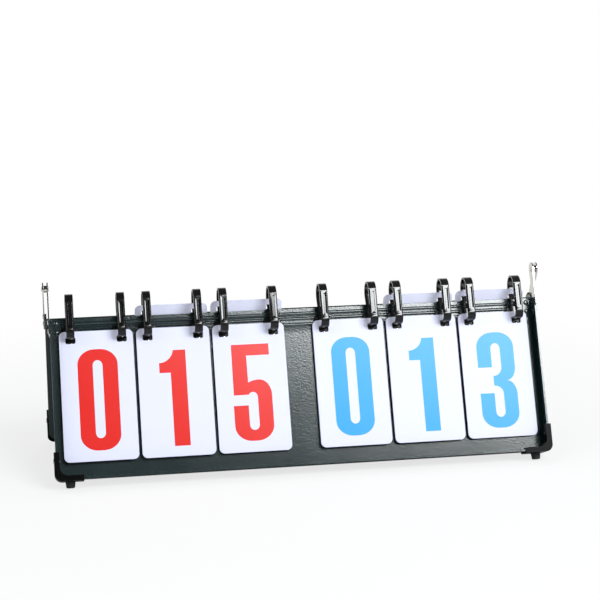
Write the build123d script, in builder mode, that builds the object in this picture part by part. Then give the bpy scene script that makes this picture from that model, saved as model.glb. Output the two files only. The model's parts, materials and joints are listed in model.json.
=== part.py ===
"""Tabletop flip scoreboard: two sheet-steel trays hinged at the top into an A-frame.

The front tray carries six numbered card packs, each on two snap rings.  Lengths are millimetres.
World frame: +X to the right, +Y to the back, +Z up.  The origin is on the table, under the fold
axis, at the middle of the board's length.

Both trays are drawn in their own board frame: x along the board, w up along the panel from its
bottom edge, and m out of the panel's face, towards the open side of the pan.
"""

import os
from math import cos, radians, sin

from build123d import *

# ---- cards ----
card_width = 88.0
card_height = 156.0
card_corner = 6.5
card_bottom = 20.2  # card's lower edge on the panel
card_gap = 4.0  # between neighbouring cards
middle_gap = 35.5  # between the two teams' cards
end_margin = 10.25  # from the last card to the tray's end
top_band = 17.0  # panel above the cards
cards_per_team = 3
leaf = 0.3  # one card
digits = 10  # leaves in one pack, 0 to 9
shown = (0, 1, 5, 0, 1, 3)  # digit on show, so as many leaves are turned over
slot_width = 12.0
slot_height = 8.0
slot_corner = 2.0
slot_margin = 6.8  # card above its slots
slot_inset = 13.5  # middle of a slot from the card's side
pack_seat = 4.1  # back of a pack, ahead of the panel
body_gap = 0.3  # between pieces that move against each other
hang_angle = 8.0  # turned cards hang this many degrees off upright
edge_gap = 0.35  # turned cards behind the front tray's top edge

# ---- trays ----
tray_depth = 20.3  # rim above the panel's face
sheet = 1.0  # steel sheet
hem_thickness = 2.2  # sheet folded back on itself at the rim
hem_width = 5.0
corner_radius = 14.0  # bottom corners of the panel
rim_radius = 15.0  # top corners of the side flanges
lid_extra = 5.3  # how much further the rear tray reaches at each end
bead_drops = (19.7, 12.7, 6.2)  # pressed beads, below the panel's top edge
bead_width = 4.4
bead_rise = 1.2
bead_end = 18.0  # plain sheet between a bead's end and the tray's end

# ---- fold hinge ----
lean = 23.5  # each tray leans this many degrees from upright
hinge_rise = 35.3  # fold axis above the panel's top edge
hinge_m = 12.0
hinge_rivet_radius = 2.6
hinge_head_radius = 4.4
hinge_head = 1.4
collar_radius = 4.2
strap_thickness = 1.5
strap_top_radius = 8.0
strap_end_radius = 5.0
strap_end_drop = 18.7  # centre of the strap's lower rounding, below the panel's top edge
turning_fit = 0.05  # radial clearance of the hinge rivet in the rear strap
turning_play = 0.3  # clearance beside the rear strap, along the rivet

# ---- snap rings: heights are taken from the upper edge of the cards' slots ----
ring_width = 9.6
band = 2.2  # thickness of a ring's plain band
pad_width = 21.0
pad_drop = 11.9
pad_rise = 12.6
pad_thickness = 1.6
pad_corner = 3.0
pad_edge = 0.5  # chamfer round the pad's face
notch_rise = 2.2
notch_fit = 0.1
ring_front = 24.0  # middle of the front bar, ahead of the panel
hook_radius = 7.6
bar_rise = 5.6
bar_length = 34.0
bar_thickness = 4.4
bar_chamfer = 1.5
bar_groove_width = 3.0
bar_groove = 1.2
bar_groove_margin = 3.0  # plain bar above and below the groove
lip_rise = 0.5
lip_width = 1.6
tongue = 3.0  # hook end that snaps up into the bar
tongue_width = 6.0
tongue_thickness = 2.0
arm_m = 2.4  # middle of the rear arm, ahead of the panel
arm_bend_drop = 1.2  # where the arm starts to lean back, below the panel's top edge
arm_top_rise = 34.6
arm_top_m = -1.2
arm_groove_width = 4.0
arm_groove = 0.8
arm_groove_rise = 13.6
arch_apex_rise = 50.5
arch_apex_m = 12.0
ring_rivet_drop = 8.4
ring_boss_radius = 3.4

# ---- end fittings ----
bracket_leg = 15.0
bracket_sheet = 1.2
bracket_height = 21.5
bracket_drop = 2.2  # bracket's upper edge below the panel's
bracket_round = 3.0
bracket_nose = 9.0  # rounding that follows the flange's rim
fastener_drops = (16.7, 5.7)  # rivet rows below the panel's top edge
panel_rivet_inset = 7.5  # from the tray's end
rivet_radius = 1.5
rivet_head_radius = 3.2
rivet_head = 1.0
rivet_tail = 0.6
hole_fit = 0.1

# ---- corner guards and feet ----
guard_wall = 2.0
guard_corner = 9.0  # outer corner, over the tray's larger one
guard_arm = 32.0
guard_flap = 9.0
guard_rivet_w = 22.0
guard_rivet_m = 13.3
foot_inset = 16.0
foot_m = 6.5
foot_radius = 6.0
foot_end_radius = 5.2
foot_height = 7.5
foot_round = 1.5
foot_recess = 3.5
screw_radius = 1.5
screw_head_radius = 2.8
screw_head = 1.6
nut_radius = 2.8
nut_height = 2.0

# ---- derived places ----
lean_sin = sin(radians(lean))
lean_cos = cos(radians(lean))
team_width = cards_per_team * card_width + (cards_per_team - 1) * card_gap
board_length = middle_gap + 2 * (team_width + end_margin)
lid_length = board_length + 2 * lid_extra
card_top = card_bottom + card_height
tray_height = card_top + top_band
slot_top = card_top - slot_margin
hinge_w = tray_height + hinge_rise
strap_end_w = tray_height - strap_end_drop
bracket_high = tray_height - bracket_drop
bead_heights = [tray_height - drop for drop in bead_drops]
fastener_rows = [tray_height - drop for drop in fastener_drops]
ring_offset = card_width / 2 - slot_inset
pad_low = slot_top - pad_drop
pad_high = slot_top + pad_rise
notch_low = slot_top + notch_rise
bar_low = slot_top + bar_rise
bar_high = bar_low + bar_length
ring_low = bar_low - hook_radius
arm_bend_w = tray_height - arm_bend_drop
arm_top_w = slot_top + arm_top_rise
arch_apex_w = slot_top + arch_apex_rise
ring_rivet_w = slot_top - ring_rivet_drop
guard_skin = hole_fit + guard_wall
foot_side = foot_height - foot_round  # straight part of a foot's side
board_y = hinge_m * lean_cos - hinge_w * lean_sin
foot_round_m = foot_m - foot_end_radius + foot_round
board_z = (guard_skin + foot_side) * lean_cos - foot_round_m * lean_sin + foot_round
pad_face = bead_rise + pad_thickness
slot_middle = slot_top - slot_height / 2

front_board = Plane(origin=(0, board_y, board_z), x_dir=(1, 0, 0), z_dir=(0, -lean_cos, lean_sin))
rear_board = Plane(origin=(0, -board_y, board_z), x_dir=(-1, 0, 0), z_dir=(0, lean_cos, lean_sin))

card_pitch = card_width + card_gap
card_places = [(middle_gap + card_width) / 2 + step * card_pitch for step in range(cards_per_team)]
card_x = [-place for place in reversed(card_places)] + card_places
ring_x = [middle + side * ring_offset for middle in card_x for side in (-1, 1)]


# ---- planes on a board ----
def at_face(board, x, w, m):
    """Plane at a board point that faces out of the panel, with w up."""
    return Plane(origin=board.from_local_coords((x, w, m)), x_dir=board.x_dir, z_dir=board.z_dir)


def at_side(board, x, w, m, side):
    """Plane at a board point that faces outward along the board, at the end named by side."""
    outward = board.x_dir * side
    return Plane(origin=board.from_local_coords((x, w, m)), x_dir=board.y_dir, z_dir=outward)


def at_edge(board, x, w, m):
    """Plane at a board point that faces down along the panel."""
    down = board.y_dir * -1
    return Plane(origin=board.from_local_coords((x, w, m)), x_dir=board.x_dir, z_dir=down)


def cut_across(board, x):
    """Plane across the board at x: its sketches are drawn in (w, m)."""
    return Plane(origin=board.from_local_coords((x, 0, 0)), x_dir=board.y_dir, z_dir=board.x_dir)


def end_x(length, side):
    """Where a tray's side flange ends, on its own x."""
    return side * length / 2


# ---- shapes used more than once ----
def pan_outline(length, inset, top_w, radius=None, mode=Mode.ADD):
    """Outline of the pan moved in by inset, with its two bottom corners rounded."""
    half = length / 2 - inset
    corners = ((-half, top_w), (-half, inset), (half, inset), (half, top_w))
    with BuildLine() as outline:
        FilletPolyline(*corners, radius=radius or corner_radius - inset)
        Line(corners[3], corners[0])
    make_face(outline.edges(), mode=mode)


def bead_section(w, half_width, low):
    """Low arch across a bead, from its foot line at m = low."""
    with BuildLine() as arch:
        ThreePointArc((w - half_width, low), (w, low + bead_rise), (w + half_width, low))
        Line((w + half_width, low), (w - half_width, low))
    make_face(arch.edges())


def add_rivet(seat, grip, head, tail):
    """Rivet with its head on seat, its shank down through grip and a flat peened tail, if any."""
    tail_radius = rivet_head_radius * 0.8
    peened = [(tail_radius, -grip - tail), (tail_radius, -grip)] if tail else []
    with BuildSketch(Plane(origin=seat.origin, x_dir=seat.x_dir, z_dir=seat.y_dir * -1)) as profile:
        with BuildLine():
            Polyline(
                (0, head),
                (0, -grip - tail),
                *peened,
                (rivet_radius, -grip),
                (rivet_radius, 0),
                (rivet_head_radius, 0),
                (rivet_head_radius, head * 0.4),
                (rivet_head_radius * 0.6, head),
                close=True,
            )
        make_face()
    revolve(profile.sketch, axis=Axis(seat.origin, seat.z_dir))


def drill(seat, radius, depth):
    """Clearance hole from seat down through the part in hand."""
    with BuildSketch(seat) as hole:
        Circle(radius)
    extrude(hole.sketch, amount=-depth, mode=Mode.SUBTRACT)


# ---- trays ----
def make_tray(board, length, ring_places):
    """Shallow steel pan: panel, three flanges with hemmed rims, and pressed beads."""
    hem_start = tray_depth - hem_width
    bead_half = length / 2 - bead_end
    with BuildPart() as tray:
        with BuildSketch(board.offset(-sheet)):
            pan_outline(length, 0, tray_height)
        extrude(amount=sheet + tray_depth)
        with BuildSketch(board):
            pan_outline(length, sheet, tray_height + sheet)
        extrude(amount=hem_start, mode=Mode.SUBTRACT)
        with BuildSketch(board.offset(hem_start)):
            pan_outline(length, hem_thickness, tray_height + sheet)
        extrude(amount=hem_width, mode=Mode.SUBTRACT)
        with BuildSketch(cut_across(board, -length / 2)):
            with Locations((tray_height - rim_radius / 2, tray_depth - rim_radius / 2)):
                Rectangle(rim_radius, rim_radius)
            with Locations((tray_height - rim_radius, tray_depth - rim_radius)):
                Circle(rim_radius, mode=Mode.SUBTRACT)
        extrude(amount=length, mode=Mode.SUBTRACT)
        for w in bead_heights:
            with BuildSketch(cut_across(board, -bead_half)):
                bead_section(w, bead_width / 2, 0)
            extrude(amount=2 * bead_half)
            with BuildSketch(cut_across(board, -bead_half)):
                bead_section(w, bead_width / 2 - sheet / 2, -sheet)
            extrude(amount=2 * bead_half, mode=Mode.SUBTRACT)
        for side in (-1, 1):
            wall = end_x(length, side)
            panel_x = wall - side * panel_rivet_inset
            for row in fastener_rows:
                drill(at_face(board, panel_x, row, 0), rivet_radius + hole_fit, 2 * sheet)
                drill(at_side(board, wall, row, hinge_m, side), rivet_radius + hole_fit, 2 * sheet)
            guard_seat = at_side(board, wall, guard_rivet_w, guard_rivet_m, side)
            drill(guard_seat, rivet_radius + hole_fit, 2 * sheet)
            foot_x = wall - side * foot_inset
            drill(at_edge(board, foot_x, 0, foot_m), screw_radius + hole_fit, 2 * sheet)
        for x in ring_places:
            drill(at_face(board, x, ring_rivet_w, 0), rivet_radius + hole_fit, 2 * sheet)
    return tray.part


# ---- top corner brackets and straps ----
def make_brackets(board, length):
    """Two L brackets, one inside each top corner of a tray."""
    middle = bracket_high - bracket_height / 2
    reach = tray_depth - hem_width - hole_fit
    with BuildPart() as brackets:
        for side in (-1, 1):
            inner = end_x(length, side) - side * (sheet + hole_fit)
            panel_x = end_x(length, side) - side * panel_rivet_inset
            with BuildSketch(at_face(board, inner - side * bracket_leg / 2, middle, 0)):
                RectangleRounded(bracket_leg, bracket_height, bracket_round)
                with Locations((side * bracket_leg / 4, 0)):
                    Rectangle(bracket_leg / 2, bracket_height)
            extrude(amount=bracket_sheet)
            with BuildSketch(cut_across(board, inner)) as leaf_outline:
                with Locations((middle, reach / 2)):
                    Rectangle(bracket_height, reach)
                fillet(leaf_outline.vertices().group_by(Axis.X)[-1].sort_by(Axis.Y)[-1], bracket_nose)
            extrude(amount=-side * bracket_sheet)
            for row in fastener_rows:
                drill(at_face(board, panel_x, row, tray_depth), rivet_radius + hole_fit, tray_depth)
                drill(at_side(board, inner, row, hinge_m, side), rivet_radius + hole_fit, bracket_leg)
    return brackets.part


def make_strap(board, length, side, bore_radius):
    """Flat hinge strap on the outside of one side flange, domed over the hinge rivet."""
    with BuildPart() as strap:
        with BuildSketch(cut_across(board, end_x(length, side))):
            with Locations((hinge_w, hinge_m)):
                Circle(strap_top_radius)
            with Locations((strap_end_w, hinge_m)):
                Circle(strap_end_radius)
            make_hull()
            with Locations((hinge_w, hinge_m)):
                Circle(bore_radius, mode=Mode.SUBTRACT)
            with Locations(*[(row, hinge_m) for row in fastener_rows]):
                Circle(rivet_radius + hole_fit, mode=Mode.SUBTRACT)
        extrude(amount=side * strap_thickness)
    return strap.part


def make_hinge_rivets():
    """One long rivet with a collar and two mushroom heads through each end's pair of straps."""
    inner = board_length / 2
    collar_low = inner + strap_thickness
    rear_strap = lid_length / 2
    collar_high = rear_strap - turning_play
    outer = rear_strap + strap_thickness + turning_play
    dome = (hinge_head_radius**2 + hinge_head**2) / (2 * hinge_head)
    with BuildPart() as rivets:
        for side in (-1, 1):
            root = front_board.from_local_coords((0, hinge_w, hinge_m))
            with BuildSketch(Plane(origin=root, x_dir=(side, 0, 0), z_dir=(0, -side, 0))):
                with BuildLine():
                    Line((inner - hinge_head, 0), (outer + hinge_head, 0))
                    RadiusArc((outer + hinge_head, 0), (outer, hinge_head_radius), -dome)
                    Polyline(
                        (outer, hinge_head_radius),
                        (outer, hinge_rivet_radius),
                        (collar_high, hinge_rivet_radius),
                        (collar_high, collar_radius),
                        (collar_low, collar_radius),
                        (collar_low, hinge_rivet_radius),
                        (inner, hinge_rivet_radius),
                        (inner, hinge_head_radius),
                    )
                    RadiusArc((inner, hinge_head_radius), (inner - hinge_head, 0), -dome)
                make_face()
            revolve(axis=Axis(root, (1, 0, 0)))
    return rivets.part


def make_fasteners(board, length, inner_tail):
    """The rivets of a tray's brackets, straps and corner guards."""
    panel_grip = bracket_sheet + sheet
    strap_grip = strap_thickness + sheet + hole_fit + bracket_sheet
    guard_grip = guard_skin + hem_thickness + guard_skin
    with BuildPart() as fasteners:
        for side in (-1, 1):
            wall = end_x(length, side)
            panel_x = wall - side * panel_rivet_inset
            for row in fastener_rows:
                panel_seat = at_face(board, panel_x, row, bracket_sheet)
                add_rivet(panel_seat, panel_grip, rivet_head, rivet_tail)
                strap_face = wall + side * strap_thickness
                add_rivet(at_side(board, strap_face, row, hinge_m, side), strap_grip, rivet_head, inner_tail)
            guard_face = wall + side * guard_skin
            guard_seat = at_side(board, guard_face, guard_rivet_w, guard_rivet_m, side)
            add_rivet(guard_seat, guard_grip, rivet_head, rivet_tail)
    return fasteners.part


# ---- corner guards and feet ----
def guard_band(length, side, outer_inset, inner_inset, outer_radius=None):
    """Stretch of band along the pan's outline, round one bottom corner."""
    pan_outline(length, outer_inset, tray_height, outer_radius)
    pan_outline(length, inner_inset, tray_height + 1, mode=Mode.SUBTRACT)
    with Locations((end_x(length, side), 0)):
        Rectangle(2 * guard_arm, 2 * guard_arm, mode=Mode.INTERSECT)


def make_guard(board, length, side):
    """Moulded guard: outer wall, lip over the rim and inner flap round one bottom corner."""
    flap_face = hem_thickness + hole_fit
    lip_seat = tray_depth + hole_fit
    with BuildPart() as guard:
        with BuildSketch(board.offset(-sheet)):
            guard_band(length, side, -guard_skin, -hole_fit, guard_corner)
        extrude(amount=sheet + lip_seat)
        with BuildSketch(board.offset(lip_seat)):
            guard_band(length, side, -guard_skin, flap_face + guard_wall, guard_corner)
        extrude(amount=guard_wall)
        with BuildSketch(board.offset(tray_depth - guard_flap)):
            guard_band(length, side, flap_face, flap_face + guard_wall)
        extrude(amount=guard_flap + hole_fit)
        outside = end_x(length, side) + side * guard_skin
        guard_seat = at_side(board, outside, guard_rivet_w, guard_rivet_m, side)
        drill(guard_seat, rivet_radius + hole_fit, 4 * guard_skin)
        foot_x = end_x(length, side) - side * foot_inset
        drill(at_edge(board, foot_x, -guard_skin, foot_m), screw_radius + hole_fit, 2 * guard_skin)
    return guard.part


def make_feet(board, length):
    """Two tapered rubber feet with rounded ends under a tray, each with a screw recess."""
    round_middle = (foot_end_radius - foot_round, foot_side)
    with BuildPart() as feet:
        for side in (-1, 1):
            seat = at_edge(board, end_x(length, side) - side * foot_inset, -guard_skin, foot_m)
            with BuildSketch(Plane(origin=seat.origin, x_dir=seat.x_dir, z_dir=seat.y_dir * -1)) as profile:
                with BuildLine():
                    Polyline((0, foot_height), (0, 0), (foot_radius, 0), (foot_end_radius, foot_side))
                    CenterArc(round_middle, foot_round, 0, 90)
                    Line((foot_end_radius - foot_round, foot_height), (0, foot_height))
                make_face()
            revolve(profile.sketch, axis=Axis(seat.origin, seat.z_dir))
            drill(seat.offset(foot_height), screw_head_radius + 2 * hole_fit, foot_recess)
            drill(seat.offset(foot_height), screw_radius + hole_fit, foot_height)
    return feet.part


def make_foot_screws(board, length):
    """Screw up through each foot, guard and flange, with a nut inside the tray."""
    head_seat = foot_height - foot_recess
    with BuildPart() as screws:
        for side in (-1, 1):
            seat = at_edge(board, end_x(length, side) - side * foot_inset, -guard_skin, foot_m)
            with BuildSketch(seat.offset(head_seat)):
                Circle(screw_head_radius)
            extrude(amount=screw_head)
            with BuildSketch(seat.offset(head_seat)):
                Circle(screw_radius)
            extrude(amount=-(head_seat + guard_skin + sheet + nut_height))
            with BuildSketch(seat.offset(-guard_skin - sheet)):
                RegularPolygon(nut_radius, 6)
            extrude(amount=-nut_height)
    return screws.part


# ---- snap rings ----
def make_ring_base(x):
    """Riveted pad with the ring's lower arm and the hook that the bar snaps onto."""
    pad_height = pad_high - pad_low
    left = cut_across(front_board, x - ring_width / 2)
    with BuildPart() as base:
        with BuildSketch(at_face(front_board, x, pad_low + pad_height / 2, bead_rise)):
            RectangleRounded(pad_width, pad_height, pad_corner)
        extrude(amount=pad_thickness)
        out_of_panel = Axis(front_board.origin, front_board.z_dir)
        chamfer(base.faces().sort_by(out_of_panel)[-1].edges(), pad_edge)
        with BuildSketch(at_face(front_board, x, (notch_low + pad_high) / 2, bead_rise)):
            Rectangle(ring_width + 2 * notch_fit, pad_high - notch_low)
        extrude(amount=pad_thickness, mode=Mode.SUBTRACT)
        with BuildSketch(at_face(front_board, x, ring_rivet_w, 0)):
            Circle(ring_boss_radius)
        extrude(amount=bead_rise)
        with BuildSketch(left):
            with BuildLine():
                arm = Line((ring_low, bead_rise + pad_thickness / 2), (ring_low, ring_front - hook_radius))
                RadiusArc(arm @ 1, (bar_low, ring_front), hook_radius)
            trace(line_width=band)
        extrude(amount=ring_width)
        with BuildSketch(at_face(front_board, x, bar_low, ring_front - tongue_thickness / 2)):
            with Locations((0, tongue / 2)):
                Rectangle(tongue_width, tongue)
        extrude(amount=tongue_thickness)
        drill(at_face(front_board, x, ring_rivet_w, pad_face), rivet_radius + hole_fit, 2 * pad_face)
    return base.part


def make_ring_bow(x):
    """Rear arm, top arch and grooved front bar in one moulding."""
    bar_face = ring_front + bar_thickness / 2
    bar_middle = bar_low + bar_length / 2
    arm_face = arm_m + band / 2
    arm_bend = (arm_bend_w, arm_m)
    arm_top = (arm_top_w, arm_top_m)
    groove_start = (slot_top + arm_groove_rise, arm_face)
    groove_bend = (arm_bend_w, arm_face)
    groove_end = (arm_top_w, arm_top_m + band / 2)
    with BuildPart() as bow:
        with BuildSketch(at_face(front_board, x, bar_middle, ring_front - bar_thickness / 2)):
            Rectangle(ring_width, bar_length)
        extrude(amount=bar_thickness)
        bar_edges = bow.edges().filter_by(Axis(front_board.origin, front_board.y_dir))
        chamfer(bar_edges.group_by(Axis(front_board.origin, front_board.z_dir))[-1], bar_chamfer)
        with BuildSketch(cut_across(front_board, x - ring_width / 2)):
            with BuildLine():
                Polyline((notch_low + notch_fit, arm_m), arm_bend, arm_top)
                ThreePointArc(arm_top, (arch_apex_w, arch_apex_m), (bar_high, ring_front))
            trace(line_width=band)
        extrude(amount=ring_width)
        with BuildSketch(at_face(front_board, x, bar_low + lip_width * 1.5, bar_face)):
            Rectangle(ring_width - 2 * bar_chamfer, lip_width)
        extrude(amount=lip_rise)
        with BuildSketch(at_face(front_board, x, bar_middle + bar_groove_margin / 2, bar_face)):
            SlotOverall(bar_length - 3 * bar_groove_margin, bar_groove_width, rotation=90)
        extrude(amount=-bar_groove, mode=Mode.SUBTRACT)
        with BuildSketch(cut_across(front_board, x - arm_groove_width / 2)):
            with BuildLine():
                Polyline(groove_start, groove_bend, groove_end)
            trace(line_width=2 * arm_groove)
        extrude(amount=arm_groove_width, mode=Mode.SUBTRACT)
        with BuildSketch(at_face(front_board, x, bar_low, ring_front - tongue_thickness / 2 - notch_fit)):
            with Locations((0, tongue / 2)):
                Rectangle(tongue_width + 2 * notch_fit, tongue + 2 * notch_fit)
        extrude(amount=tongue_thickness + 2 * notch_fit, mode=Mode.SUBTRACT)
    return bow.part


def make_ring_rivets():
    """One rivet through the pad of each ring."""
    with BuildPart() as rivets:
        for x in ring_x:
            seat = at_face(front_board, x, ring_rivet_w, pad_face)
            add_rivet(seat, pad_face + sheet, rivet_head, rivet_tail)
    return rivets.part


# ---- cards ----
def card_outline(middle_x, up):
    """Rounded card with its two slots, its lower edge at up on the plane in hand."""
    with Locations((middle_x, up + card_height / 2)):
        RectangleRounded(card_width, card_height, card_corner)
    slot_up = up + slot_middle - card_bottom
    with Locations((middle_x - ring_offset, slot_up), (middle_x + ring_offset, slot_up)):
        RectangleRounded(slot_width, slot_height, slot_corner, mode=Mode.SUBTRACT)


def make_card_pack(x, leaves):
    """The cards still waiting behind the one on show."""
    with BuildPart() as pack:
        with BuildSketch(front_board.offset(pack_seat)):
            card_outline(x, card_bottom)
        extrude(amount=leaves * leaf)
    return pack.part


def make_front_card(x, leaves):
    """The card on show, just ahead of its pack."""
    with BuildPart() as card:
        with BuildSketch(front_board.offset(pack_seat + leaves * leaf + body_gap)):
            card_outline(x, card_bottom)
        extrude(amount=leaf)
    return card.part


def hanging_plane():
    """Plane of the turned cards: just behind the front tray's top edge, facing back."""
    back = Vector(0, cos(radians(hang_angle)), sin(radians(hang_angle)))
    edge = front_board.from_local_coords(Vector(0, tray_height, -sheet))
    return Plane(origin=edge + back * edge_gap, x_dir=(-1, 0, 0), z_dir=back)


def hanging_height(plane, thickness):
    """Height on the hanging plane at which a slot's upper edge rests on the rings' rear arms."""
    low = front_board.from_local_coords(Vector(0, arm_bend_w, arm_m))
    high = front_board.from_local_coords(Vector(0, arm_top_w, arm_top_m))
    along = (high - low).normalized()
    out = along.cross(Vector(-1, 0, 0))
    start = low + out * (band / 2 + body_gap)
    run = (thickness - (start - plane.origin).dot(plane.z_dir)) / along.dot(plane.z_dir)
    return (start + along * run - plane.origin).dot(plane.y_dir)


def make_turned_cards(x, leaves):
    """Cards that have been turned over the rings and hang between the trays."""
    plane = hanging_plane()
    slot_edge = hanging_height(plane, leaves * leaf)
    with BuildPart() as turned:
        with BuildSketch(plane):
            card_outline(-x, slot_edge - (slot_top - card_bottom))
        extrude(amount=leaves * leaf)
    return turned.part


def save(piece, name):
    """Label a finished piece and write it."""
    piece.label = name
    export_step(piece, f"parts/{name}.step")


def build_all():
    """Make and write every piece."""
    save(make_tray(front_board, board_length, ring_x), "front_tray")
    save(make_tray(rear_board, lid_length, ()), "rear_tray")
    save(make_brackets(front_board, board_length), "front_brackets")
    save(make_brackets(rear_board, lid_length), "rear_brackets")
    save(make_fasteners(front_board, board_length, rivet_tail), "front_fasteners")
    save(make_fasteners(rear_board, lid_length, 0), "rear_fasteners")
    save(make_feet(front_board, board_length), "front_feet")
    save(make_feet(rear_board, lid_length), "rear_feet")
    save(make_foot_screws(front_board, board_length), "front_foot_screws")
    save(make_foot_screws(rear_board, lid_length), "rear_foot_screws")
    save(make_hinge_rivets(), "hinge_rivets")
    save(make_ring_rivets(), "ring_rivets")
    for side, end in ((-1, "left"), (1, "right")):
        front_bore = hinge_rivet_radius + hole_fit
        rear_bore = hinge_rivet_radius + turning_fit
        save(make_strap(front_board, board_length, side, front_bore), f"front_strap_{end}")
        save(make_strap(rear_board, lid_length, -side, rear_bore), f"rear_strap_{end}")
        save(make_guard(front_board, board_length, side), f"front_guard_{end}")
        save(make_guard(rear_board, lid_length, -side), f"rear_guard_{end}")
    for number, x in enumerate(ring_x, start=1):
        save(make_ring_base(x), f"ring_base_{number}")
        save(make_ring_bow(x), f"ring_bow_{number}")
    for number, (x, digit) in enumerate(zip(card_x, shown), start=1):
        waiting = digits - 1 - digit
        save(make_card_pack(x, waiting), f"card_pack_{number}")
        save(make_front_card(x, waiting), f"front_card_{number}")
        if digit > 0:
            save(make_turned_cards(x, digit), f"turned_cards_{number}")


if __name__ == "__main__":
    os.makedirs("parts", exist_ok=True)
    build_all()
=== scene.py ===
"""Dresses the tabletop flip scoreboard: leaves, printed digits, rounded edges, finishes and studio."""

import json
import math

import bmesh
import bpy
import numpy as np
from bpy.props import FloatProperty, FloatVectorProperty, IntProperty, PointerProperty, StringProperty
from bpy.types import Operator, Panel, PropertyGroup
from mathutils import Euler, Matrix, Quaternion, Vector
from mathutils.geometry import tessellate_polygon

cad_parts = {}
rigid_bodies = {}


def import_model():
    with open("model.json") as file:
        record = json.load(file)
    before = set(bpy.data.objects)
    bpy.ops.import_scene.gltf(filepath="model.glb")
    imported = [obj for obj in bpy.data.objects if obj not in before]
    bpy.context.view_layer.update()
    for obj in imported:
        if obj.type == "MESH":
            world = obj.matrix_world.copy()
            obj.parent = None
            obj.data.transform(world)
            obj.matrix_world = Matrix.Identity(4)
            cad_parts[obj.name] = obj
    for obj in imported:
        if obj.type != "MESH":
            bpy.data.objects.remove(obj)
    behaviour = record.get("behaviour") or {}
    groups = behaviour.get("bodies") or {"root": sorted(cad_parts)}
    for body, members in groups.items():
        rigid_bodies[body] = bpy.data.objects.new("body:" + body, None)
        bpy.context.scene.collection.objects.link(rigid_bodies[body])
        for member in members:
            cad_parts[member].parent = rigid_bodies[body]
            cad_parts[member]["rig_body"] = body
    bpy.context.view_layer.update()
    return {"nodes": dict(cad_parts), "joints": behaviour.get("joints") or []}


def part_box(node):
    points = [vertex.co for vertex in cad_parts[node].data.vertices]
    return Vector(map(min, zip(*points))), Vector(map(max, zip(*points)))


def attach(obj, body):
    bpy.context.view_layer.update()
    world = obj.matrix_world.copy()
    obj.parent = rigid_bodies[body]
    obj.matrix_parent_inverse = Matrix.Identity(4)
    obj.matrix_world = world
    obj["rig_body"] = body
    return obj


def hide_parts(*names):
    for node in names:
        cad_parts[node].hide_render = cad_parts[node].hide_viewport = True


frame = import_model()

bl_info = {
    "name": "Tabletop flip scoreboard",
    "version": (1, 0, 0),
    "blender": (4, 5, 0),
    "location": "3D View > Sidebar > Scoreboard",
    "description": "Leaves, digits, finishes and studio around the packed scoreboard",
    "category": "Object",
}

MM = 0.001
JOINTS = {joint["name"]: joint for joint in frame["joints"]}


def linear(code):
    """sRGB hex code to linear red, green and blue, by the sRGB curve."""
    part = np.array([int(code[start : start + 2], 16) for start in (1, 3, 5)]) / 255
    return tuple(np.where(part <= 0.04045, part / 12.92, ((part + 0.055) / 1.055) ** 2.4).tolist())


def length(title, text, metres):
    """A size property in metres."""
    return FloatProperty(name=title, description=text, default=metres, min=0.0, unit="LENGTH")


def tilt(title, text, degrees):
    """An angle property, given in degrees."""
    return FloatProperty(name=title, description=text, default=math.radians(degrees), unit="ROTATION")


def colour(title, text, code):
    """A colour property from an sRGB hex code."""
    return FloatVectorProperty(
        name=title, description=text, subtype="COLOR", size=3, min=0, max=1, default=linear(code)
    )


class CardSizes(PropertyGroup):
    """Sizes of the cards and of what is printed on them"""

    shown: StringProperty(
        name="Digits shown", description="One digit for each card, left to right", default="015013"
    )
    digits: IntProperty(name="Leaves of a pack", description="Cards that each place has", default=10, min=2)
    team: IntProperty(
        name="Cards of a team", description="Places printed in red before the blue ones", default=3, min=1
    )
    width: length("Width", "Card's width", 0.088)
    height: length("Height", "Card's height", 0.156)
    corner: length("Corner", "Radius of the card's corners", 0.0065)
    bottom: length("Bottom", "Card's lower edge above the panel's bottom bend", 0.0202)
    slot_width: length("Slot width", "Width of a ring's slot", 0.012)
    slot_height: length("Slot height", "Height of a ring's slot", 0.008)
    slot_corner: length("Slot corner", "Radius of the slot's corners", 0.002)
    slot_inset: length("Slot inset", "Slot's middle from the card's side", 0.0135)
    slot_margin: length("Slot margin", "Slot's upper edge below the card's top", 0.0068)
    leaf: length("Leaf", "Room that one leaf takes in its pack", 0.0003)
    sheet: length("Sheet", "Thickness of one leaf", 0.00026)
    seat: length("Seat", "Back of a pack above the panel's face", 0.0041)
    gap: length("Gap", "Air between a pack and the card shown on it", 0.0003)
    stray: length("Stray", "How far a leaf may lie out of line with its pack", 0.00014)
    ink: length("Ink", "Thickness of the printed film", 0.00003)


class BoardSizes(PropertyGroup):
    """How the front panel and the turned cards lie about the hinge, and how round the edges are"""

    lean: tilt("Lean", "Panel's lean from upright", 23.5)
    hang: tilt("Hang", "Lean of the turned cards from upright", 8.0)
    hinge_rise: length("Hinge rise", "Hinge axis above the panel's bottom bend", 0.2285)
    hinge_reach: length("Hinge reach", "Hinge axis in front of the panel's face", 0.012)
    sheet_edge: length("Sheet edge", "Rounding that the coat gives a cut sheet edge", 0.00045)
    moulded_edge: length("Moulded edge", "Rounding of the rings' and feet's edges", 0.0003)
    guard_edge: length("Guard edge", "Rounding of the corner guards' edges", 0.00045)
    metal_edge: length("Metal edge", "Rounding of the tumbled straps' and brackets' edges", 0.00018)


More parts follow.
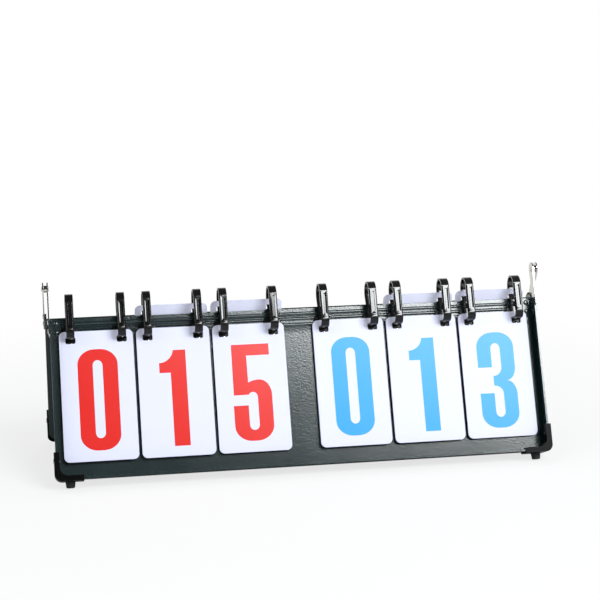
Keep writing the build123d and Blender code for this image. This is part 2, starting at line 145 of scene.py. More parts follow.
class Colours(PropertyGroup):
    """Colours of the finishes"""

    coat: colour("Powder coat", "Dark green coat of both trays", "#122729")
    coat_thin: colour("Thin coat", "Where the coat runs thin at an edge", "#3C4B4B")
    ring: colour("Ring plastic", "Black plastic of the snap rings", "#0A0A0C")
    ring_worn: colour("Rubbed ring", "Rubbed edges of the rings' bows", "#272729")
    guard: colour("Guard plastic", "Black plastic of the corner guards", "#050506")
    # A painted highlight: the pale line that light makes along the guards' rounded edges, put into their
    # colour.
    guard_worn: colour("Rubbed guard", "Rubbed edges of the corner guards", "#616163")
    rubber: colour("Rubber", "Feet", "#1B1B1C")
    nickel: colour("Nickel", "Straps, outer rivet heads and screws", "#CBC8C4")
    card: colour("Card", "White plastic sheet of the cards", "#DFE1F6")
    red: colour("Red ink", "Digits of the first team", "#E2241E")
    blue: colour("Blue ink", "Digits of the second team", "#3AA5E3")
    floor: colour("Floor", "Studio floor", "#F4F4F4")


# ------------------------------------------------------------------ places


def board_point(along, up, out):
    """Panel coordinates in metres to the frame.

    Up the panel is (0, sin lean, cos lean) and out of its face is (0, -cos lean, sin lean); the panel's
    bottom bend is the fold axis less the hinge's rise and reach along those two.
    """
    sizes = bpy.context.scene.board_sizes
    sin, cos = math.sin(sizes.lean), math.cos(sizes.lean)
    _, axis_y, axis_z = JOINTS["fold"]["pos_m"]
    up, out = up - sizes.hinge_rise, out - sizes.hinge_reach
    return np.stack((along, axis_y + up * sin - out * cos, axis_z + up * cos + out * sin), -1)


def hanging_point(pivot, along, up, back):
    """Coordinates on a turned stack to the frame: along the board, and up and back from its pivot.

    Up the stack is (0, -sin hang, cos hang) and back from it is (0, cos hang, sin hang).
    """
    hang = bpy.context.scene.board_sizes.hang
    sin, cos = math.sin(hang), math.cos(hang)
    return np.stack((along, pivot[1] - up * sin + back * cos, pivot[2] + up * cos + back * sin), -1)


def middle_x(name):
    """Middle of a CAD node along the board, in metres."""
    low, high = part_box(name)
    return (low.x + high.x) / 2


# ------------------------------------------------------------------ flat outlines


def arc(x, y, rx, ry, start, end, steps=10):
    """Points of an elliptical arc: (x + rx cos a, y + ry sin a) for a from start to end, in degrees."""
    angle = np.radians(np.linspace(start, end, steps + 1))
    return np.stack((x + rx * np.cos(angle), y + ry * np.sin(angle)), -1)


def rounded_box(left, right, low, high, rx, ry=None, steps=10):
    """Anticlockwise loop of a box with elliptical corners, a quarter arc each."""
    ry = rx if ry is None else ry
    corners = (
        (right - rx, low + ry, -90),
        (right - rx, high - ry, 0),
        (left + rx, high - ry, 90),
        (left + rx, low + ry, 180),
    )
    return np.concatenate([arc(x, y, rx, ry, start, start + 90, steps) for x, y, start in corners])


def loop(*parts):
    """A loop from corners (x, y) and arcs (x, y, rx, ry, start, end), in order."""
    return np.concatenate([arc(*part) if len(part) == 6 else np.array([part], float) for part in parts])


# Digits of a bold condensed face, in mm on the card from its lower left corner: an outline, then its holes.
# The 0 fixes the face: 47.7 wide, 121 high, strokes of 18 round a slot of 11.7. Bowls share its radii.
OUTER = (20.5, 18.5)
INNER = (5.8, 6.6)
DIGITS = {
    "0": [rounded_box(20.3, 68.0, 12.3, 133.5, *OUTER), rounded_box(38.3, 50.0, 26.8, 120.2, *INNER)],
    "1": [
        loop(
            (57.7, 128), (25.4, 130, 17.4, 17.2, -6.6, -90), (25.4, 100.7), (38.8, 100.7), (38.8, 12.3),
            (57.7, 12.3),
        ),
    ],
    "2": [
        loop(
            (20.3, 88), (38.3, 88), (44.1, 112, *INNER, 180, 0), (19.7, 88, 30.2, 34, 0, -38), (20.3, 27),
            (20.3, 12.3), (67.5, 12.3), (67.5, 28.5), (41.6, 28.5), (41.6, 32.5),
            (37.5, 88, 30.2, 40, -40, 0), (47.4, 113.2, *OUTER, 0, 90), (40.8, 113.2, *OUTER, 90, 180),
        ),
    ],
    "3": [
        loop(
            (19.8, 87), (37.7, 87), (43.6, 110.4, 5.9, 6.6, 180, 0), (38.2, 87, 11.3, 11, 0, -90),
            (38.2, 54, 11.3, 10, 90, 0), (43.6, 31.4, 5.9, 6.6, 0, -180), (37.7, 54.8), (19.8, 54.8),
            (40.3, 30.0, *OUTER, 180, 270), (46.6, 30.0, *OUTER, 270, 360), (55.3, 52.5, 11.8, 17.5, 0, 90),
            (55.3, 87, 11.8, 17, -90, 0), (46.6, 112.2, *OUTER, 0, 90), (40.3, 112.2, *OUTER, 90, 180),
        ),
    ],
    "4": [
        loop(
            (44, 12.3), (61.8, 12.3), (61.8, 34), (69.5, 34), (69.5, 50), (61.8, 50), (61.8, 131.5),
            (40, 131.5), (17.5, 52), (17.5, 34), (44, 34),
        ),
        loop((31.2, 50), (44, 50), (44, 97)),
    ],
    "5": [
        loop(
            (21.5, 130.8), (21.2, 69), (44.5, 66, 5.8, 6.4, 150, 0), (44.4, 32.6, 5.9, 6.4, 0, -180),
            (38.4, 56.3), (20.4, 56.3), (40.9, 31.7, *OUTER, 180, 270), (47.3, 31.7, *OUTER, 270, 360),
            (53, 68.2, 14.8, 19, 0, 90), (53, 77, 18, 10.2, 90, 138), (39.2, 117), (67.4, 117), (67.4, 130.8),
        ),
    ],
    "6": [
        loop(
            (49.9, 96), (67.9, 96), (47.4, 115, *OUTER, 0, 90), (40.8, 115, *OUTER, 90, 180),
            (40.8, 30.8, *OUTER, 180, 270), (47.4, 30.8, *OUTER, 270, 360), (50.4, 62, 17.5, 21.8, 0, 115),
            (38.3, 78.5), (44.1, 113.4, *INNER, 180, 0),
        ),
        rounded_box(38.3, 49.9, 26.8, 69.5, *INNER),
    ],
}

NO_AREA = 1e-14  # a filling triangle of less than half this, in square metres, is dropped


def signed_area(points):
    """Area of a loop by the shoelace sum, positive when it runs anticlockwise."""
    x, y = points.T
    return 0.5 * float(np.sum(x * np.roll(y, -1) - np.roll(x, -1) * y))


def flat_pieces(loops, spans, shifts=((0.0, 0.0),)):
    """Vertices and faces of flat slabs with holes.

    The loops (outline first, then holes) lie in a plane; each slab fills them at its span's two heights and
    joins the two fills by a wall along every loop, with a shift of its own in the plane.
    """
    loops = [
        points if (signed_area(points) > 0) == (order == 0) else points[::-1]
        for order, points in enumerate(loops)
    ]
    flat = np.concatenate(loops)
    fill = np.array(tessellate_polygon([[Vector((x, y, 0)) for x, y in points] for points in loops]))
    a, b, c = flat[fill].transpose(1, 0, 2)
    turn = (b - a)[:, 0] * (c - a)[:, 1] - (b - a)[:, 1] * (c - a)[:, 0]
    solid = np.abs(turn) > NO_AREA
    fill, turn = fill[solid], turn[solid]
    fill = np.where((turn > 0)[:, None], fill, fill[:, ::-1])
    count = len(flat)
    starts = np.cumsum([0] + [len(points) for points in loops])
    here = np.arange(count)
    after = here + 1
    after[starts[1:] - 1] = starts[:-1]
    wall = np.stack((here, after, after + count, here + count), -1)
    spans, shifts = np.asarray(spans, float), np.asarray(shifts, float)
    plane = np.broadcast_to((flat[None] + shifts[:, None])[:, None], (len(spans), 2, count, 2))
    levels = np.broadcast_to(spans[:, :, None, None], (len(spans), 2, count, 1))
    points = np.concatenate((plane, levels), -1)
    faces = []
    for slab in range(len(spans)):
        base = slab * 2 * count
        faces += (fill + base + count).tolist() + (fill[:, ::-1] + base).tolist() + (wall + base).tolist()
    return points.reshape(-1, 3), faces


# ------------------------------------------------------------------ finishes

# Sockets of a Mix node by number, because its numbers and its colours share their names.
FACTOR, FIRST_NUMBER, SECOND_NUMBER, FIRST_COLOUR, SECOND_COLOUR = 0, 2, 3, 6, 7
MIXED_NUMBER, MIXED_COLOUR = 0, 2
WHITE = (1.0, 1.0, 1.0, 1.0)

# Noise values that give the lowest and the highest roughness: the noise seldom passes them.
DRIFT_LOW, DRIFT_HIGH = 0.3, 0.7

# Cosines between the rounded and the true normal where the pale edge line starts and is full, and its share
# when full. It is the rubbed edges of the rings, the thin coat at the trays' edges, and a painted highlight
# on the guards.
WEAR_AND_HIGHLIGHT_STARTS, WEAR_AND_HIGHLIGHT_FULL, WEAR_AND_HIGHLIGHT_SHARE = 0.97, 0.7, 0.8


def node(tree, kind, inputs=None, **settings):
    """Adds one shader node: settings are its options, inputs its sockets' values or what they link from."""
    made = tree.nodes.new("ShaderNode" + kind)
    for key, value in settings.items():
        setattr(made, key, value)
    for key, value in (inputs or {}).items():
        if isinstance(value, bpy.types.NodeSocket):
            tree.links.new(value, made.inputs[key])
        else:
            made.inputs[key].default_value = value
    return made


def rgba(three):
    """A colour with full alpha."""
    return (*three, 1.0)


def scaled(three, factor):
    """A colour made lighter or darker, each part held at 1."""
    return tuple(min(1.0, part * factor) for part in three)


def finish(
    name, base, drift, shade, rough, grain, relief, stretch=1, specular=0.5, ior=None, metallic=0.0, edge=None
):
    """A surface from its base colour and a recipe in millimetres.

    drift: size of the slow changes of colour and gloss; shade: how much darker or lighter they make it;
    rough: lowest and highest roughness; grain and relief: size and depth of the surface's texture;
    stretch: how much longer the grain is along the board; edge: colour and width of the pale edge line,
    which is wear on some finishes and a painted highlight on others.
    A metal is given no ior and keeps the shader's own.
    """
    found = bpy.data.materials.get(name)
    if found:
        return found
    made = bpy.data.materials.new(name)
    made.use_nodes = True
    made.diffuse_color = rgba(base)
    tree = made.node_tree
    tree.nodes.clear()
    place = node(tree, "TexCoord").outputs["Object"]
    stretched = node(tree, "Mapping", {"Vector": place, "Scale": (1 / stretch, 1, 1)}).outputs[0]
    slow = node(
        tree, "TexNoise", {"Vector": place, "Scale": 1 / (drift * MM), "Detail": 3.0, "Roughness": 0.55}
    ).outputs[0]
    fine = node(
        tree, "TexNoise", {"Vector": stretched, "Scale": 1 / (grain * MM), "Detail": 2.0, "Roughness": 0.5}
    ).outputs[0]
    darker, lighter = rgba(scaled(base, 1 - shade)), rgba(scaled(base, 1 + shade))
    tint = node(
        tree, "Mix", {FACTOR: slow, FIRST_COLOUR: darker, SECOND_COLOUR: lighter}, data_type="RGBA"
    ).outputs[MIXED_COLOUR]
    low, high = rough
    gloss = node(
        tree,
        "MapRange",
        {"Value": slow, "From Min": DRIFT_LOW, "From Max": DRIFT_HIGH, "To Min": low, "To Max": high},
    ).outputs[0]
    normal = node(tree, "Bump", {"Strength": 1.0, "Distance": relief * MM, "Height": fine}).outputs[0]
    # The edge line pales the colour where the rounded normal turns from the true one: wear on some finishes,
    # a painted highlight on the guards.
    if edge:
        wear_and_highlight_colour, width = edge
        rounded = node(tree, "Bevel", {"Radius": width * MM}, samples=4).outputs[0]
        true = node(tree, "NewGeometry").outputs["Normal"]
        along = node(tree, "VectorMath", {0: rounded, 1: true}, operation="DOT_PRODUCT").outputs["Value"]
        wear_and_highlight = node(
            tree,
            "MapRange",
            {"Value": along, "From Min": WEAR_AND_HIGHLIGHT_STARTS, "From Max": WEAR_AND_HIGHLIGHT_FULL, "To Max": WEAR_AND_HIGHLIGHT_SHARE},
        ).outputs[0]
        patchy_wear_and_highlight = node(tree, "Math", {0: wear_and_highlight, 1: slow}, operation="MULTIPLY").outputs[0]
        tint = node(
            tree,
            "Mix",
            {FACTOR: patchy_wear_and_highlight, FIRST_COLOUR: tint, SECOND_COLOUR: rgba(wear_and_highlight_colour)},
            data_type="RGBA",
        ).outputs[MIXED_COLOUR]
    look = {
        "Base Color": tint,
        "Roughness": gloss,
        "Metallic": metallic,
        "Specular IOR Level": specular,
        "Normal": normal,
    }
    if ior:
        look["IOR"] = ior
    shader = node(tree, "BsdfPrincipled", look).outputs[0]
    node(tree, "OutputMaterial", {"Surface": shader})
    return made


def finishes():
    """Every material of the board, made once and given by its short name."""
    tone = bpy.context.scene.board_colours
    return {
        # Polyester powder coat, sprayed and baked on steel sheet: a deep colour under a satin skin, thinner
        # and paler along a sheet's edge. Its orange peel has the real spacing of about 2 mm. The real one is
        # a few thousandths of a millimetre deep, and this one is drawn 0.125 mm deep so that it shows.
        "coat": finish(
            "powder_coat_dark_green", tone.coat, drift=60, shade=0.12, rough=(0.18, 0.22), grain=2.2,
            relief=0.125, specular=0.75, ior=1.6, edge=(tone.coat_thin, 0.35),
        ),
        # Injection moulded ABS from a polished tool: nearly mirror gloss, faint flow marks, rubbed edges.
        "ring": finish(
            "abs_black_gloss_moulded", tone.ring, drift=9, shade=0.2, rough=(0.11, 0.16), grain=1.5,
            relief=0.001, specular=0.8, ior=1.54, edge=(tone.ring_worn, 0.3),
        ),
        # The same plastic from the tool's etched side: satin, so pads and hooks stay darker than the bars.
        # The real etching is about 0.1 mm, and is drawn coarser so that it shows.
        "ring_base": finish(
            "abs_black_satin_moulded", tone.ring, drift=9, shade=0.2, rough=(0.26, 0.36), grain=0.5,
            relief=0.004, specular=0.3, ior=1.54,
        ),
        # Injection moulded polypropylene from a spark-eroded tool: satin with an even grain, with a pale
        # painted highlight along its edges. The real grain is about 0.2 mm, and is drawn coarser so that it
        # shows.
        "guard": finish(
            "polypropylene_black_satin_moulded", tone.guard, drift=14, shade=0.2, rough=(0.28, 0.36),
            grain=0.6, relief=0.003, specular=0.1, ior=1.49, edge=(tone.guard_worn, 0.4),
        ),
        # Moulded rubber: dull black that dust has paled in patches, on a grain drawn coarser than the real
        # 0.1 mm so that it shows.
        "rubber": finish(
            "rubber_black_moulded", tone.rubber, drift=5, shade=0.35, rough=(0.6, 0.75), grain=0.3,
            relief=0.01, specular=0.35, ior=1.52,
        ),
        # Bright nickel plate over rolled and tumbled steel: a warm mirror, softened by fine rolling marks.
        # The real marks are under 0.1 mm wide, and are drawn coarser so that they show.
        "nickel": finish(
            "nickel_plate_bright_tumbled", tone.nickel, drift=7, shade=0.06, rough=(0.08, 0.15), grain=0.35,
            relief=0.0015, stretch=6, metallic=1.0,
        ),
        # Calendered polypropylene sheet: bluish white, semi-gloss from the rollers' matt emboss. The real
        # emboss is about 0.1 mm, and is drawn coarser so that it shows.
        "card": finish(
            "polypropylene_sheet_white_calendered", tone.card, drift=45, shade=0.012, rough=(0.42, 0.5),
            grain=0.5, relief=0.0015, specular=0.22, ior=1.49,
        ),
        # Screen-printed ink films on the sheet: full colour, glossier than the sheet, with the unevenness of
        # the screen's threads. Their real spacing is about 0.15 mm, and is drawn coarser so that it shows.
        "red": finish(
            "screen_ink_red", tone.red, drift=40, shade=0.015, rough=(0.25, 0.27), grain=0.6, relief=0.0004,
            ior=1.5,
        ),
        "blue": finish(
            "screen_ink_blue", tone.blue, drift=40, shade=0.01, rough=(0.25, 0.27), grain=0.6, relief=0.0004,
            specular=0.3, ior=1.5,
        ),
    }


# ------------------------------------------------------------------ cards and digits

LEAF_SEED = 17


def places(sizes):
    """Each place from the left: its number, its turned and waiting leaves, and its cards' left side."""
    for number, shown in enumerate(sizes.shown, 1):
        turned = int(shown)
        left = middle_x(f"front_card_{number}") - sizes.width / 2
        yield number, turned, sizes.digits - 1 - turned, left


def card_loops(sizes):
    """A card's outline and its two slots, in metres from its lower left corner."""
    top = sizes.height - sizes.slot_margin
    half = sizes.slot_width / 2
    slots = [
        rounded_box(x - half, x + half, top - sizes.slot_height, top, sizes.slot_corner, steps=4)
        for x in (sizes.slot_inset, sizes.width - sizes.slot_inset)
    ]
    return [rounded_box(0, sizes.width, 0, sizes.height, sizes.corner, steps=8)] + slots


def printed(digit):
    """A digit's loops in metres from the card's lower left corner."""
    return [points * MM for points in DIGITS[str(digit)]]


def leaf_spans(sizes, back, count):
    """Back and face of each leaf of a stack: the back of the whole plus the leaf's room times its order."""
    low = back + sizes.leaf * np.arange(count)
    return np.stack((low, low + sizes.sheet), -1)


def shown_back(sizes, waiting):
    """Back of the shown card above the panel's face: past the pack's seat, its leaves and the air."""
    return sizes.seat + sizes.leaf * waiting + sizes.gap


def on_board(sizes, left, points):
    """Points of a card that lies on the panel to the frame."""
    return board_point(points[:, 0] + left, points[:, 1] + sizes.bottom, points[:, 2])


def on_turned(sizes, number, left, points, faces):
    """Points and faces of a turned card in the frame: its slots' upper edges lie on the swing axis.

    Along, up and back are a mirror image of the panel's along, up and out, so each face is turned round.
    """
    drop = sizes.height - sizes.slot_margin
    pivot = JOINTS[f"swing_turned_{number}"]["pos_m"]
    points = hanging_point(pivot, points[:, 0] + left, points[:, 1] - drop, points[:, 2])
    return points, [face[::-1] for face in faces]


def card_piece(name, points, faces, material, body, stands_for=None):
    """Puts arrays into a mesh with the given material, which rides on a body and may stand for a CAD node."""
    mesh = bpy.data.meshes.new(name)
    mesh.from_pydata(points.tolist(), [], faces)
    mesh.update()
    mesh.materials.append(material)
    piece = bpy.data.objects.new(name, mesh)
    bpy.context.scene.collection.objects.link(piece)
    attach(piece, body)
    if stands_for:
        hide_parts(stands_for)


class FLIP_OT_cards(Operator):
    """Separate leaves of the six packs, the six cards shown, and the turned stacks"""

    bl_idname = "flip.cards"
    bl_label = "Cards"

    def execute(self, context):
        sizes = context.scene.card_sizes
        loops = card_loops(sizes)
        material = finishes()["card"]
        draw = np.random.default_rng(LEAF_SEED)
        for number, turned, waiting, left in places(sizes):
            shifts = draw.uniform(-sizes.stray, sizes.stray, (waiting, 2))
            points, faces = flat_pieces(loops, leaf_spans(sizes, sizes.seat, waiting), shifts)
            points = on_board(sizes, left, points)
            body, solid = f"pack_{number}", f"card_pack_{number}"
            card_piece(f"pack_leaves_{number}", points, faces, material, body, solid)
            back = shown_back(sizes, waiting)
            points, faces = flat_pieces(loops, [(back, back + sizes.leaf)])
            points = on_board(sizes, left, points)
            body, solid = f"card_{number}", f"front_card_{number}"
            card_piece(f"shown_card_{number}", points, faces, material, body, solid)
            if turned:
                # A turned leaf strays sideways only, because it hangs on its slots' upper edges.
                shifts = draw.uniform(-sizes.stray, sizes.stray, (turned, 2)) * (1, 0)
                points, faces = flat_pieces(loops, leaf_spans(sizes, 0.0, turned), shifts)
                points, faces = on_turned(sizes, number, left, points, faces)
                body, solid = f"turned_{number}", f"turned_cards_{number}"
                card_piece(f"turned_leaves_{number}", points, faces, material, body, solid)
        return {"FINISHED"}


class FLIP_OT_digits(Operator):
    """Printed digits: the one shown, the next one on the pack, and the last one on the turned stack"""

    bl_idname = "flip.digits"
    bl_label = "Digits"

    def execute(self, context):
        sizes = context.scene.card_sizes
        # Each film starts a little inside its card, so that no gap opens under it.
        sunk = sizes.ink / 3
        for number, turned, waiting, left in places(sizes):
            ink = finishes()["red" if number <= sizes.team else "blue"]
            pack_face = sizes.seat + sizes.leaf * (waiting - 1) + sizes.sheet
            card_face = shown_back(sizes, waiting) + sizes.leaf
            for title, digit, level, body in (
                ("shown_digit", turned, card_face, f"card_{number}"),
                ("next_digit", turned + 1, pack_face, f"pack_{number}"),
            ):
                points, faces = flat_pieces(printed(digit), [(level - sunk, level + sizes.ink)])
                card_piece(f"{title}_{number}", on_board(sizes, left, points), faces, ink, body)
            if turned:
                points, faces = flat_pieces(printed(turned - 1), [(-sizes.ink, sunk)])
                points, faces = on_turned(sizes, number, left, points, faces)
                card_piece(f"turned_digit_{number}", points, faces, ink, f"turned_{number}")
        return {"FINISHED"}


# ------------------------------------------------------------------ pieces from the CAD nodes

MERGE = 0.002 * MM  # corners of a CAD node's loose triangles that lie nearer than this are one
LEVEL = math.radians(0.4)  # faces that meet flatter than this are joined
SHARP = math.radians(38.0)  # edges that turn more than this are rounded
END_FLANGE = 1.4 * MM  # further in than this from a tray's ends is inside its end flanges


def inner_heads(side):
    """Test for the faces of a tray's rivet heads that lie inside its top corners.

    They are in the tray's upper half and further in from its ends than its end flanges reach.
    """
    low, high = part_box(f"{side}_tray")
    end, middle = high.x - END_FLANGE, (low.z + high.z) / 2
    return lambda centres: (np.abs(centres[:, 0]) < end) & (centres[:, 2] > middle)


def rounded_copy(source, width, material, segments=2, other=None):
    """A copy of a CAD node with its edges rounded.

    The loose triangles are merged and level ones joined, then every edge sharper than the limit gets a
    bevel of the width, and the rest is shaded smooth. A width of 0 leaves the edges as they are. The other
    material goes on the faces whose centres pass its test.
    """
    original = frame["nodes"][source]
    mesh = original.data.copy()
    mesh.name = source + "_finished"
    work = bmesh.new()
    work.from_mesh(mesh)
    bmesh.ops.remove_doubles(work, verts=work.verts, dist=MERGE)
    bmesh.ops.dissolve_limit(
        work, angle_limit=LEVEL, use_dissolve_boundaries=False, verts=work.verts, edges=work.edges
    )
    for face in work.faces:
        face.smooth = True
    work.to_mesh(mesh)
    work.free()
    mesh.materials.clear()
    mesh.materials.append(material)
    if other:
        second, passes = other
        mesh.materials.append(second)
        centres = np.empty(3 * len(mesh.polygons), np.float32)
        mesh.polygons.foreach_get("center", centres)
        mesh.polygons.foreach_set("material_index", passes(centres.reshape(-1, 3)).astype(np.int32))
    piece = bpy.data.objects.new(source + "_finished", mesh)
    bpy.context.scene.collection.objects.link(piece)
    if width:
        bevel = piece.modifiers.new("rounded edges", "BEVEL")
        bevel.width = width
        bevel.segments = segments
        bevel.limit_method = "ANGLE"
        bevel.angle_limit = SHARP
        bevel.use_clamp_overlap = True
        bevel.harden_normals = True
    mesh.set_sharp_from_angle(angle=SHARP)
    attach(piece, original["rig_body"])
    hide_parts(source)


class FLIP_OT_trays(Operator):
    """The two powder-coated trays"""

    bl_idname = "flip.trays"
    bl_label = "Trays"

    def execute(self, context):
        edge = context.scene.board_sizes.sheet_edge
        for side in ("front", "rear"):
            rounded_copy(f"{side}_tray", edge, finishes()["coat"])
        return {"FINISHED"}


class FLIP_OT_rings(Operator):
    """The twelve snap rings: base with hook, and bow with its bar"""

    bl_idname = "flip.rings"
    bl_label = "Rings"

    def execute(self, context):
        edge = context.scene.board_sizes.moulded_edge
        rings = 2 * len(context.scene.card_sizes.shown)
        for number in range(1, rings + 1):
            for part, material in (("base", "ring_base"), ("bow", "ring")):
                rounded_copy(f"ring_{part}_{number}", edge, finishes()[material])
        return {"FINISHED"}


class FLIP_OT_guards(Operator):
    """The four corner guards with their feet"""

    bl_idname = "flip.guards"
    bl_label = "Corner guards and feet"

    def execute(self, context):
        sizes = context.scene.board_sizes
        edge, guard, rubber = sizes.guard_edge, finishes()["guard"], finishes()["rubber"]
        for side in ("front", "rear"):
            for end in ("left", "right"):
                rounded_copy(f"{side}_guard_{end}", edge, guard, segments=3)
            rounded_copy(f"{side}_feet", sizes.moulded_edge, rubber)
        return {"FINISHED"}


class FLIP_OT_hardware(Operator):
    """Straps, brackets, rivets and screws"""

    bl_idname = "flip.hardware"
    bl_label = "Straps, brackets and fasteners"

    def execute(self, context):
        edge = context.scene.board_sizes.metal_edge
        nickel, coat = finishes()["nickel"], finishes()["coat"]
        for side in ("front", "rear"):
            for end in ("left", "right"):
                rounded_copy(f"{side}_strap_{end}", edge, nickel)
            # The brackets and the rivet heads inside a tray are coated with it.
            rounded_copy(f"{side}_brackets", edge, coat)
            rounded_copy(f"{side}_fasteners", 0, nickel, other=(coat, inner_heads(side)))
            rounded_copy(f"{side}_foot_screws", 0, nickel)
        for part in ("hinge_rivets", "ring_rivets"):
            rounded_copy(part, 0, nickel)
        return {"FINISHED"}


# ------------------------------------------------------------------ studio

# The photograph's view, fitted to the cards' corners and the trays' outlines: metres, degrees, and mm.
CAMERA_PLACE = (-0.31640, -1.88165, 0.62933)
CAMERA_TURN = tuple(math.radians(angle) for angle in (77.1830, 0.3468, -9.7898))
CAMERA_LENS, CAMERA_SENSOR = 95.463, 36.0

# Softboxes: name, place, what it faces, turn about its own axis in degrees, width, height, power in watts.
LAMPS = (
    ("key_softbox", (1.13, -1.97, 1.81), (0.0, 0.0, 0.1), -38.0, 1.72, 1.05, 74.0),
    ("fill_softbox", (-2.2, -1.2, 1.6), (-0.2, 0.0, 0.1), 0.0, 1.4, 1.2, 13.0),
    ("top_softbox", (-0.2, 0.5, 2.2), (0.0, 0.0, 0.0), 0.0, 1.8, 1.2, 9.0),
)
LAMP_COLOUR = (0.96, 0.99, 1.0)  # linear, a little cool

FLOOR_RADII = (0.5, 1.5, 4.0, 12.0)  # metres
FLOOR_SIDES = 96
# The paper's fibres are drawn far coarser than real ones so that they show.
FIBRE_SIZE, FIBRE_DEPTH = 3 * MM, 0.02 * MM

# The floor's plain white grows between two distances from the board's middle, in metres. For the camera it
# grows from a share to all, so that the board's shadow shows near it. For the gloss it grows from none.
SEEN_NEAR, SEEN_FAR, SEEN_SHARE = 0.25, 0.9, 0.74
MIRRORED_NEAR, MIRRORED_FAR = 0.3, 1.0

# Strength of the room that the gloss mirrors in front of the board, at its left and at its right, and of
# the world's plain light on everything. The white behind the board has a strength of 1.
ROOM_LEFT, ROOM_RIGHT = 0.03, 0.3
WORLD_LIGHT = 0.2


def aim(place, target, turn):
    """Rotation that points a lamp's -Z at the target, then turns the lamp about that axis."""
    facing = (Vector(target) - Vector(place)).to_track_quat("-Z", "Y")
    return (facing @ Quaternion((0, 0, 1), math.radians(turn))).to_euler()


def floor_mesh():
    """A disc of flat rings: the middle, then (r cos a, r sin a, 0) for each radius and side."""
    turn = np.linspace(0, 2 * np.pi, FLOOR_SIDES, endpoint=False)
    radii = np.array(FLOOR_RADII)[:, None]
    rings = np.stack((radii * np.cos(turn), radii * np.sin(turn), np.zeros((len(radii), FLOOR_SIDES))), -1)
    points = np.concatenate((np.zeros((1, 3)), rings.reshape(-1, 3)))
    here = np.arange(FLOOR_SIDES)
    after = np.roll(here, -1)
    faces = np.stack((np.zeros_like(here), 1 + here, 1 + after), -1).tolist()
    for ring in range(len(FLOOR_RADII) - 1):
        inner, outer = 1 + ring * FLOOR_SIDES, 1 + (ring + 1) * FLOOR_SIDES
        faces += np.stack((inner + here, outer + here, outer + after, inner + after), -1).tolist()
    mesh = bpy.data.meshes.new("studio_floor")
    mesh.from_pydata(points.tolist(), [], faces)
    return mesh


def studio_paper(tone):
    """Matt white paper with plain white laid over it.

    The camera sees the plain white with the paper's shadow in it near the board, and nothing else far off.
    The gloss mirrors the shadowed paper near the board and the plain white far off.
    """
    paper = bpy.data.materials.new("studio_paper_white")
    paper.use_nodes = True
    tree = paper.node_tree
    tree.nodes.clear()
    light = node(tree, "LightPath")
    place = node(tree, "TexCoord").outputs["Object"]
    fibre = node(tree, "TexNoise", {"Vector": place, "Scale": 1 / FIBRE_SIZE, "Detail": 2.0}).outputs[0]
    bump = node(tree, "Bump", {"Strength": 0.5, "Distance": FIBRE_DEPTH, "Height": fibre}).outputs[0]
    matt = node(tree, "BsdfDiffuse", {"Color": rgba(tone), "Normal": bump}).outputs[0]
    white = node(tree, "Emission", {"Color": WHITE, "Strength": 1.0}).outputs[0]
    far = node(tree, "VectorMath", {0: place}, operation="LENGTH").outputs["Value"]
    seen = node(
        tree,
        "MapRange",
        {"Value": far, "From Min": SEEN_NEAR, "From Max": SEEN_FAR, "To Min": SEEN_SHARE, "To Max": 1.0},
        interpolation_type="SMOOTHSTEP",
    ).outputs[0]
    mirrored = node(
        tree,
        "MapRange",
        {"Value": far, "From Min": MIRRORED_NEAR, "From Max": MIRRORED_FAR, "To Min": 0.0, "To Max": 1.0},
        interpolation_type="SMOOTHSTEP",
    ).outputs[0]
    straight = node(
        tree,
        "Math",
        {0: light.outputs["Is Camera Ray"], 1: light.outputs["Is Transmission Ray"]},
        operation="MAXIMUM",
    ).outputs[0]
    gloss = light.outputs["Is Glossy Ray"]
    glossy = node(tree, "Math", {0: gloss, 1: mirrored}, operation="MULTIPLY").outputs[0]
    share = node(tree, "Math", {0: straight, 1: seen, 2: glossy}, operation="MULTIPLY_ADD").outputs[0]
    mixed = node(tree, "MixShader", {0: share, 1: matt, 2: white}).outputs[0]
    node(tree, "OutputMaterial", {"Surface": mixed})
    return paper


def studio_world(scene):
    """White behind the board, low in the sky; in front a dim room that is darkest on the left.

    The camera sees white everywhere, the gloss mirrors the white and the room, and everything else gets the
    world's plain light. The numbers on the three axes are parts of a ray's direction.
    """
    world = bpy.data.worlds.new("studio")
    scene.world = world
    world.use_nodes = True
    tree = world.node_tree
    tree.nodes.clear()
    light = node(tree, "LightPath")
    way = node(tree, "SeparateXYZ", {0: node(tree, "TexCoord").outputs["Generated"]}).outputs
    behind = node(
        tree, "MapRange", {"Value": way["Y"], "From Min": -0.25, "From Max": 0.25},
        interpolation_type="SMOOTHSTEP",
    ).outputs[0]
    low = node(
        tree, "MapRange", {"Value": way["Z"], "From Min": 0.7, "From Max": 0.3},
        interpolation_type="SMOOTHSTEP",
    ).outputs[0]
    front = node(
        tree,
        "MapRange",
        {"Value": way["X"], "From Min": -0.2, "From Max": 0.7, "To Min": ROOM_LEFT, "To Max": ROOM_RIGHT},
        interpolation_type="SMOOTHSTEP",
    ).outputs[0]
    backdrop = node(tree, "Math", {0: behind, 1: low}, operation="MULTIPLY").outputs[0]
    room = node(tree, "MapRange", {"Value": backdrop, "To Min": front, "To Max": 1.0}).outputs[0]
    plain = node(
        tree, "Mix", {FACTOR: light.outputs["Is Glossy Ray"], FIRST_NUMBER: WORLD_LIGHT, SECOND_NUMBER: room},
        data_type="FLOAT",
    ).outputs[MIXED_NUMBER]
    straight = node(
        tree, "Math", {0: light.outputs["Is Camera Ray"], 1: light.outputs["Is Transmission Ray"]},
        operation="MAXIMUM",
    ).outputs[0]
    strength = node(
        tree, "Mix", {FACTOR: straight, FIRST_NUMBER: plain, SECOND_NUMBER: 1.0}, data_type="FLOAT"
    ).outputs[MIXED_NUMBER]
    back = node(tree, "Background", {"Color": WHITE, "Strength": strength}).outputs[0]
    node(tree, "OutputWorld", {"Surface": back})


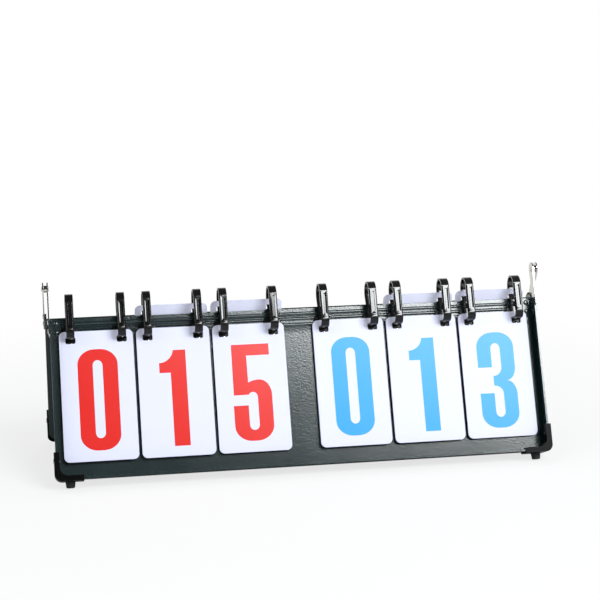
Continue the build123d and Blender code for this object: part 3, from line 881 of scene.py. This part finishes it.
class FLIP_OT_stage(Operator):
    """Floor, studio light and camera"""

    bl_idname = "flip.stage"
    bl_label = "Stage"

    def execute(self, context):
        scene = context.scene
        floor = bpy.data.objects.new("studio_floor", floor_mesh())
        floor.data.materials.append(studio_paper(scene.board_colours.floor))
        scene.collection.objects.link(floor)
        studio_world(scene)
        for name, place, target, turn, width, height, power in LAMPS:
            lamp = bpy.data.lights.new(name, "AREA")
            lamp.shape = "RECTANGLE"
            lamp.size, lamp.size_y = width, height
            lamp.energy = power
            lamp.color = LAMP_COLOUR
            box = bpy.data.objects.new(name, lamp)
            box.location = place
            box.rotation_euler = aim(place, target, turn)
            # Only the key is mirrored, as one clear highlight.
            box.visible_glossy = name == "key_softbox"
            scene.collection.objects.link(box)
        camera = bpy.data.objects.new("camera", bpy.data.cameras.new("camera"))
        camera.location = CAMERA_PLACE
        camera.rotation_euler = Euler(CAMERA_TURN, "XYZ")
        camera.data.lens = CAMERA_LENS
        camera.data.sensor_width = CAMERA_SENSOR
        camera.data.dof.use_dof = False
        scene.collection.objects.link(camera)
        scene.camera = camera
        scene.view_settings.view_transform = "Standard"
        return {"FINISHED"}


# ------------------------------------------------------------------ panel and run


class FLIP_PT_board(Panel):
    """The steps that dress the scoreboard, and their sizes and colours"""

    bl_idname = "FLIP_PT_board"
    bl_label = "Flip scoreboard"
    bl_space_type = "VIEW_3D"
    bl_region_type = "UI"
    bl_category = "Scoreboard"

    def draw(self, context):
        for step in STEPS:
            self.layout.operator(step.bl_idname)
        for group, item in GROUPS.items():
            box = self.layout.box()
            for key in item.__annotations__:
                box.prop(getattr(context.scene, group), key)


GROUPS = {"card_sizes": CardSizes, "board_sizes": BoardSizes, "board_colours": Colours}
STEPS = (
    FLIP_OT_trays,
    FLIP_OT_rings,
    FLIP_OT_guards,
    FLIP_OT_hardware,
    FLIP_OT_cards,
    FLIP_OT_digits,
    FLIP_OT_stage,
)


def register():
    for item in (*GROUPS.values(), *STEPS, FLIP_PT_board):
        bpy.utils.register_class(item)
    for group, item in GROUPS.items():
        setattr(bpy.types.Scene, group, PointerProperty(type=item))


def unregister():
    for group in GROUPS:
        delattr(bpy.types.Scene, group)
    for item in (FLIP_PT_board, *reversed(STEPS), *reversed(GROUPS.values())):
        bpy.utils.unregister_class(item)


def main():
    """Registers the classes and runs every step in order."""
    register()
    for step in STEPS:
        area, name = step.bl_idname.split(".")
        getattr(getattr(bpy.ops, area), name)()


if __name__ == "__main__":
    main()
